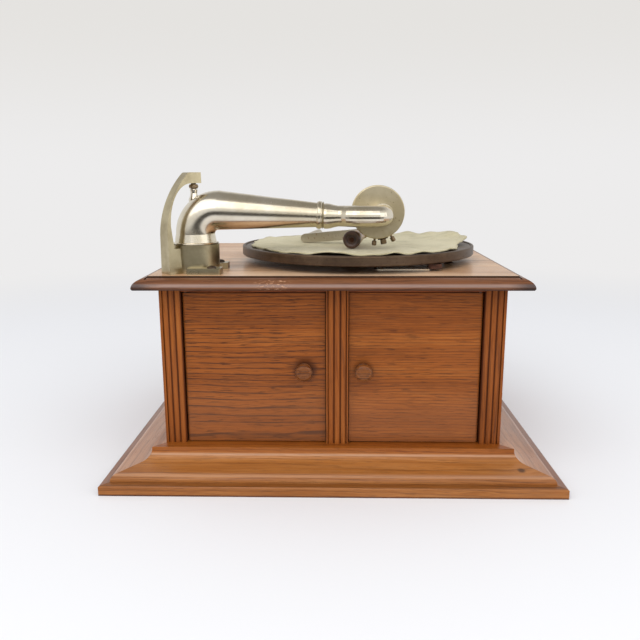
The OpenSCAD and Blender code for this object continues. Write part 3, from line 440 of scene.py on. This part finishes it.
def handle_wood(name, front, direction):
    """The crank's handle: dark lacquer on the front end, worn to bare wood round the side."""
    finish = Finish(name)
    place = finish.place()
    depth = finish.along(place, front, direction)
    grain = finish.noise(finish.moved(place, scale=(700.0, 60.0, 700.0)), 1.0, 3.0, 0.6)
    wear = finish.noise(place, 120.0, 4.0, 0.6)
    bare = finish.ramp(grain * 0.6 + wear * 0.4, (0.35, srgb(128, 92, 58)), (0.5, srgb(178, 140, 98)),
                       (0.65, srgb(206, 172, 130)))
    dark = finish.ramp(wear, (0.35, srgb(40, 24, 17)), (0.6, srgb(78, 50, 36)))
    side = (depth + (wear - 0.5) * 0.004).step(0.0028, 0.0052)
    return finish.surface({
        "Base Color": finish.mix(side, dark, bare), "Roughness": wear * 0.3 + 0.26, "Coat Weight": 0.2,
        "Coat Roughness": 0.2, "Normal": finish.bump(grain, 0.25, 0.0004)})


def mica_sheet(name):
    """Cloudy, half clear mica."""
    finish = Finish(name)
    place = finish.place()
    flake = finish.noise(place, 160.0, 3.0, 0.6)
    return finish.surface({
        "Base Color": finish.mix(flake.step(0.4, 0.65), srgb(214, 204, 170), srgb(178, 160, 116)),
        "Roughness": flake * 0.2 + 0.06, "Transmission Weight": 0.35,
        "Normal": finish.bump(flake, 0.1, 0.0002)})


def worn_leather(name):
    """Dark leather with a fine cracked grain."""
    finish = Finish(name)
    place = finish.place()
    grain = finish.node("ShaderNodeTexVoronoi", {"feature": "DISTANCE_TO_EDGE"},
                        {"Vector": place, "Scale": 900.0}, "Distance")
    cloud = finish.noise(place, 150.0, 4.0, 0.6)
    return finish.surface({
        "Base Color": finish.ramp(cloud, (0.35, srgb(50, 27, 17)), (0.6, srgb(88, 50, 31))),
        "Roughness": cloud * 0.3 + 0.5, "Normal": finish.bump(grain.step(0.0, 0.12), 0.5, 0.0003)})


def paint(finish, *nodes):
    """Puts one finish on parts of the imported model."""
    for name in nodes:
        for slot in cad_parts[name].material_slots:
            slot.material = finish


HANDLE_FRONT = (0.019, -0.106, 0.2302)
HANDLE_TURN = math.radians(14.5)
HANDLE_RISE = math.radians(2)
LID_CHIPS = [((-0.0540, -0.1680, 0.1950), 0.0075)]
DOOR_PALER_BELOW = [(door_paler_below, srgb(158, 106, 74), "MIX")]
# down between the reeds: painted shade, with dirt
PILASTER_GROOVE_SHADE_AND_DIRT = [(reed_groove_shade_and_dirt(-0.15, 0.1642), SHADE_AND_DIRT, "MULTIPLY")]
STILE_GROOVE_SHADE_AND_DIRT = [(reed_groove_shade_and_dirt(-0.1515, 0.03), SHADE_AND_DIRT, "MULTIPLY")]
# the moulding's stain, a painted highlight, painted shade in the groove and under the edge, darker corners,
# and painted light in front of the turntable
LID_STAINS_AND_PAINTED_LIGHT = [(lid_moulding, EDGE_STAIN, "MULTIPLY"), (lid_painted_highlight, srgb(170, 150, 142), "MIX"),
              (lid_groove_shade, SHADE_BLACK, "MULTIPLY"), (below(0.1912, 0.001), DEEP_SHADE, "MULTIPLY"),
              (lid_ends, CORNER_TINT, "MULTIPLY"), (lid_front_painted_light, srgb(240, 204, 168), "MIX")]
# painted shade along the plinth's bottom edge, where it meets the floor
PLINTH_FOOT_SHADE = [(below(0.0014, 0.0006), SHADE_AND_DIRT, "MULTIPLY")]
# painted highlights along the plinth's curves, painted shade under the bead, and a richer tone at the top
PLINTH_HIGHLIGHTS_AND_SHADE = [(band(0.0252, 0.0014, 0.4), HIGHLIGHT_PINK, "MIX"), (band(0.0158, 0.0013, 0.32), HIGHLIGHT_PINK, "MIX"),
                (band(0.0098, 0.0008, 0.5), DEEP_SHADE, "MULTIPLY"),
                (above(0.0268, 0.0006), RICH_STAIN, "MULTIPLY")]
# the plinth's sides, darker towards the bottom
PLINTH_RIM = [(below(0.0135, 0.0015), SIDE_LOWER_TINT, "MULTIPLY")]
# part, grain axis, tones, seed, gloss
BOARDS = [
    ("plinth_front", "X", OAK_PALE, 1, 0.6), ("plinth_back", "X", OAK_PALE, 2, 0.5),
    ("plinth_left", "Y", OAK_SHEEN_PAINTED, 3, 0.7), ("plinth_right", "Y", OAK_SHEEN_PAINTED, 4, 0.7),
    ("left_side", "Y", OAK, 5, 0.35), ("right_side", "Y", OAK, 6, 0.35),
    ("top_rail", "X", OAK_DARK, 7, 0.2), ("door_stops", "X", OAK_DARK, 8, 0.2),
    ("left_door", "X", OAK, 9, 0.35), ("right_door", "X", OAK, 10, 0.35),
    ("left_knob", "X", OAK_KNOB, 11, 0.8), ("right_knob", "X", OAK_KNOB, 12, 0.8),
    ("left_pilaster", "Z", OAK, 13, 0.35), ("right_pilaster", "Z", OAK, 14, 0.35),
    ("centre_stile", "Z", OAK, 15, 0.35),
    ("base_board", "Y", DEAL, 16, 0.05), ("back_panel", "X", DEAL, 17, 0.05),
    ("partition", "Y", DEAL, 18, 0.05), ("sound_deflector", "X", DEAL, 19, 0.05),
    ("corner_blocks", "Z", DEAL, 20, 0.05), ("lid_battens", "Y", DEAL, 21, 0.05),
]
SPECIAL = {
    "plinth_front": {"knots_and_knob_shade": [((0.1804, -0.1800, 0.0181), 0.0052)], "line": 0.4, "sheen": 0.3,
                     "marks": PLINTH_FOOT_SHADE + PLINTH_HIGHLIGHTS_AND_SHADE},
    "plinth_back": {"line": 0.4, "marks": PLINTH_FOOT_SHADE},
    # painted shadow round each knob
    "left_door": {"rings": (140.0, 900.0), "line": 1.0, "marks": DOOR_PALER_BELOW, "knots_and_knob_shade": knob_shade(-0.0272)},
    "right_door": {"rings": (330.0, 300.0), "line": 0.72, "marks": DOOR_PALER_BELOW, "knots_and_knob_shade": knob_shade(0.0306)},
    "left_pilaster": {"marks": PILASTER_GROOVE_SHADE_AND_DIRT, "line": 0.3},
    "right_pilaster": {"marks": PILASTER_GROOVE_SHADE_AND_DIRT, "line": 0.3},
    "centre_stile": {"marks": STILE_GROOVE_SHADE_AND_DIRT, "line": 0.3},
    "plinth_left": {"sheen": 0.6, "line": 0.35, "marks": PLINTH_FOOT_SHADE + PLINTH_RIM},
    "plinth_right": {"sheen": 0.6, "line": 0.35, "marks": PLINTH_FOOT_SHADE + PLINTH_RIM},
    "left_knob": {"sheen": 0.25}, "right_knob": {"sheen": 0.25},
}
for node, *settings in BOARDS:
    paint(board("wood_" + node, *settings, **SPECIAL.get(node, {})), node)
paint(board("wood_lid", "X", LID_OAK, 22, 0.6, rings=(130.0, 0.0), line=0.6, sheen=0.3,
            marks=LID_STAINS_AND_PAINTED_LIGHT, chips=LID_CHIPS), "lid_board")

nickel = plated("bright_nickel", srgb(226, 218, 202), srgb(208, 196, 172), srgb(120, 92, 66), 0.2, 0.2)
old_nickel = plated("aged_nickel", srgb(190, 178, 146), srgb(150, 136, 106), srgb(96, 78, 54),
                    0.29, 0.6, relief=0.07)
case_nickel = plated("soundbox_nickel", srgb(216, 203, 173), srgb(192, 177, 142), srgb(120, 98, 66),
                     0.34, 0.5, relief=0.1)
screw_nickel = plated("screw_nickel", srgb(150, 130, 104), srgb(112, 92, 70), srgb(70, 50, 34), 0.36, 0.6)
crank_nickel = plated("crank_nickel", srgb(214, 208, 196), srgb(186, 176, 156), srgb(146, 104, 72), 0.3, 0.6,
                      stains=[(HANDLE_FRONT, 0.006, srgb(74, 50, 38))])
brass = plated("dull_brass", srgb(182, 148, 82), srgb(146, 114, 62), srgb(84, 62, 38), 0.34, 0.4)
browned = plated("browned_steel", srgb(96, 82, 70), srgb(66, 54, 46), srgb(44, 30, 22), 0.42, 0.6)
steel = turned_steel("turned_steel", srgb(178, 178, 176), srgb(140, 136, 130), 0.32)
paint(nickel, "tonearm", "arm_collar", "gooseneck", "speed_knob", "brake_lever", "brake_pivot")
paint(old_nickel, "throat_sleeve", "tonearm_bracket", "neck_ring")
paint(case_nickel, "soundbox_case")
paint(screw_nickel, "soundbox_screws", "needle_screw", "lock_nut")
paint(crank_nickel, "crank_arm")
paint(brass, "winding_escutcheon", "governor_bracket", "winding_bearing", "intermediate_wheel",
      "spring_barrel")
paint(browned, "motor_bolts", "pivot_screw", "bracket_screws", "regulator_rod", "stylus_lever")
paint(steel, "door_pivots", "motor_top_plate", "motor_bottom_plate", "motor_pillars", "spindle",
      "spring_arbor", "governor", "winding_arbor")
paint(platter_metal("platter_plate"), "platter")
paint(mica_sheet("mica"), "diaphragm")
paint(worn_leather("brake_leather"), "brake_block")
handle_axis = (math.sin(HANDLE_TURN), math.cos(HANDLE_TURN), math.sin(HANDLE_RISE))
paint(handle_wood("handle_wood", HANDLE_FRONT, handle_axis), "crank_handle")
felt = felt_cloth("felt")


# Felt mat -------------------------------------------------------------------

TABLE_X, TABLE_Y = 0.0271, -0.0266
FELT_LOW = 0.2181
FELT_THICK = 0.0027
FELT_EDGE = 0.117                    # mean radius of the torn edge
FELT_LOOSE = 0.084                   # radius from which the border lifts
SPINDLE_GAP = 0.0044
FELT_RINGS = (0.008, 0.014, 0.022, 0.032, 0.045, 0.06, 0.072, 0.082, 0.09, 0.096, 0.101, 0.105, 0.109,
              0.112, 0.1145, FELT_EDGE)
# height in millimetres, direction and width in degrees of each fold that stands up
FELT_FOLDS = ((10.0, 19, 11), (6.0, 0, 10), (5.6, 36, 8), (4.8, 56.5, 5.5), (1.5, 47, 10), (1.4, 153, 12),
              (2.8, 254, 7), (2.2, 286, 5), (1.2, 302, 5), (0.8, 225, 8), (0.8, 318, 7), (1.6, 95, 14))


def share(value, low, high):
    """How far a value has come from low to high, from 0 to 1."""
    return min(max((value - low) / (high - low), 0.0), 1.0)


def bell(angle, middle, width):
    """1 at one direction round the mat and 0 away from it, in degrees."""
    off = (angle - middle + 180) % 360 - 180
    return math.exp(-(off / width) ** 2)


def felt_radius(angle):
    """The torn edge, in and out by a few millimetres."""
    a = math.radians(angle)
    slow = 2.0 * math.sin(5 * a + 0.35) + 1.6 * math.sin(8 * a) + 1.2 * math.sin(13 * a + 1.2)
    torn = 0.5 * math.sin(31 * a + 0.4) + 0.35 * math.sin(53 * a + 2.0) + 0.3 * math.sin(87 * a)
    corner = 3.0 * bell(angle, 359, 5) - 3.5 * bell(angle, 340, 11)
    return FELT_EDGE + min(slow + torn + corner, 5.2) / 1000


def felt_lift(angle, radius):
    """How far the loose border stands off the platter."""
    folds = sum(high * bell(angle, middle, width) for high, middle, width in FELT_FOLDS)
    ripple = 0.4 * math.sin(math.radians(17 * angle)) + 0.3 * math.sin(math.radians(29 * angle + 40))
    return share(radius, FELT_LOOSE, FELT_EDGE) ** 1.7 * (folds + 0.5 + ripple) / 1000


def torn_felt():
    """The mat: rings of cloth out from the spindle, its border lifted and torn."""
    bpy.ops.object.select_all(action="DESELECT")
    bpy.ops.mesh.primitive_circle_add(
        vertices=360, radius=SPINDLE_GAP, fill_type="NOTHING", location=(TABLE_X, TABLE_Y, FELT_LOW))
    mat = bpy.context.object
    mat.name = "felt_mat"
    bpy.ops.object.transform_apply(location=True)
    mesh = bmesh.new()
    mesh.from_mesh(mat.data)
    edge = list(mesh.edges)
    size = SPINDLE_GAP
    for ring in FELT_RINGS:
        made = bmesh.ops.extrude_edge_only(mesh, edges=edge)["geom"]
        edge = [part for part in made if isinstance(part, bmesh.types.BMEdge)]
        for vertex in (part for part in made if isinstance(part, bmesh.types.BMVert)):
            vertex.co.x = TABLE_X + (vertex.co.x - TABLE_X) * ring / size
            vertex.co.y = TABLE_Y + (vertex.co.y - TABLE_Y) * ring / size
        size = ring
    for vertex in mesh.verts:
        x, y = vertex.co.x - TABLE_X, vertex.co.y - TABLE_Y
        angle, radius = math.degrees(math.atan2(y, x)) % 360, math.hypot(x, y)
        stretch = 1 + share(radius, 0.06, FELT_EDGE) * (felt_radius(angle) / FELT_EDGE - 1)
        vertex.co.x = TABLE_X + x * stretch
        vertex.co.y = TABLE_Y + y * stretch
        vertex.co.z += felt_lift(angle, radius)
    bmesh.ops.recalc_face_normals(mesh, faces=list(mesh.faces))
    mesh.to_mesh(mat.data)
    mesh.free()
    inside = mat.vertex_groups.new(name="inside")
    for vertex in mat.data.vertices:
        radius = math.hypot(vertex.co.x - TABLE_X, vertex.co.y - TABLE_Y)
        inside.add([vertex.index], 1.0 - share(radius, FELT_EDGE - 0.02, FELT_EDGE), "REPLACE")
    if sum(face.normal.z for face in mat.data.polygons) < 0:
        mat.data.flip_normals()
    thick = mat.modifiers.new("thickness", "SOLIDIFY")
    thick.thickness = FELT_THICK
    thick.offset = 1.0
    thick.vertex_group = inside.name
    thick.thickness_vertex_group = 0.5
    bpy.ops.object.modifier_apply(modifier=thick.name)
    bpy.ops.object.shade_smooth()
    mat.data.materials.append(felt)
    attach(mat, "turntable")
    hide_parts("platter_felt")
    outline = [felt_radius(a) for a in range(360)]
    area = sum(math.pi / 360 * r * r for r in outline) - math.pi * SPINDLE_GAP ** 2


torn_felt()


# Studio ---------------------------------------------------------------------

def floor():
    """Pale paper that runs on past the picture, to the colour of the backdrop."""
    bpy.ops.object.select_all(action="DESELECT")
    bpy.ops.mesh.primitive_plane_add(size=12, location=(0, 0, 0))
    plane = bpy.context.object
    plane.name = "floor"
    finish = Finish("pale_floor")
    reach = finish.distance(finish.place(), (0.0, 0.0, 0.0))
    ground = finish.node("ShaderNodeBsdfDiffuse", {}, {"Color": srgb(239, 240, 242)})
    white = finish.node("ShaderNodeEmission", {}, {"Color": srgb(237, 236, 236), "Strength": 1.0})
    pale = finish.node("ShaderNodeMixShader", {}, {0: reach.step(0.7, 1.6), 1: ground, 2: white})
    # polished metal also finds the dark end of the room, past the paper in front
    end = finish.node("ShaderNodeEmission", {}, {"Color": (0.035, 0.032, 0.028, 1.0), "Strength": 1.0})
    ahead = finish.axis(finish.place(), "Y").step(-0.55, -0.75) * finish.ray("Is Glossy Ray")
    plane.data.materials.append(finish.material)
    finish.output(finish.node("ShaderNodeMixShader", {}, {0: ahead, 1: pale, 2: end}))


def lamp(name, place, aim, size, power):
    """A soft box that points at the model."""
    data = bpy.data.lights.new(name, "AREA")
    data.shape = "RECTANGLE"
    data.size, data.size_y = size
    data.energy = power
    made = bpy.data.objects.new(name, data)
    made.location = place
    made.rotation_euler = (Vector(aim) - Vector(place)).to_track_quat("-Z", "Y").to_euler()
    scene.collection.objects.link(made)


def sky():
    """A soft fill for the object, a pale backdrop, and a darker ceiling in reflections."""
    room = Finish("room", "worlds")
    upward = room.axis(room.node("ShaderNodeTexCoord", {}, {}, "Generated"), "Z")
    ceiling = room.mix(upward.step(0.85, 0.45), (0.34, 0.33, 0.31, 1.0), (0.84, 0.84, 0.83, 1.0))
    backdrop = room.mix(upward.step(0.0, 0.22), srgb(237, 236, 236), srgb(229, 227, 224))
    fill = room.node("ShaderNodeBackground", {}, {"Color": srgb(250, 250, 252), "Strength": 0.82})
    dim = room.node("ShaderNodeBackground", {}, {"Color": ceiling})
    wall = room.node("ShaderNodeBackground", {}, {"Color": backdrop})
    lit = room.node("ShaderNodeMixShader", {}, {0: room.ray("Is Glossy Ray"), 1: fill, 2: dim})
    seen = room.node("ShaderNodeMixShader", {}, {0: room.ray("Is Camera Ray"), 1: lit, 2: wall})
    scene.world = room.output(seen, "ShaderNodeOutputWorld")


def camera():
    """The photograph's view, solved from the edges of the plinth, body and lid."""
    x, y, z = 0.0049, -0.7808, 0.2932
    turn, dip, lean = math.radians(1.4898), math.radians(12.109), math.radians(-0.2301)
    ahead = Vector((-math.sin(turn) * math.cos(dip), math.cos(turn) * math.cos(dip), -math.sin(dip)))
    level = Vector((math.cos(turn), math.sin(turn), 0))
    top = level.cross(ahead)
    right = math.cos(lean) * level + math.sin(lean) * top
    up = math.cos(lean) * top - math.sin(lean) * level
    data = bpy.data.cameras.new("camera")
    data.sensor_width = 36
    data.lens = 37.862
    data.clip_start = 0.01
    made = bpy.data.objects.new("camera", data)
    made.matrix_world = Matrix((
        (right.x, up.x, -ahead.x, x), (right.y, up.y, -ahead.y, y),
        (right.z, up.z, -ahead.z, z), (0, 0, 0, 1)))
    scene.collection.objects.link(made)
    scene.camera = made


floor()
sky()
camera()
lamp("window", (-0.9, -1.3, 1.6), (0, 0, 0.15), (1.8, 1.6), 12)
lamp("overhead", (0.2, -1.3, 1.2), (0, 0, 0.2), (1.8, 1.2), 6.5)
lamp("right_fill", (1.4, -0.9, 0.8), (0, 0, 0.15), (1.2, 1.4), 4)
scene.view_settings.view_transform = "Standard"
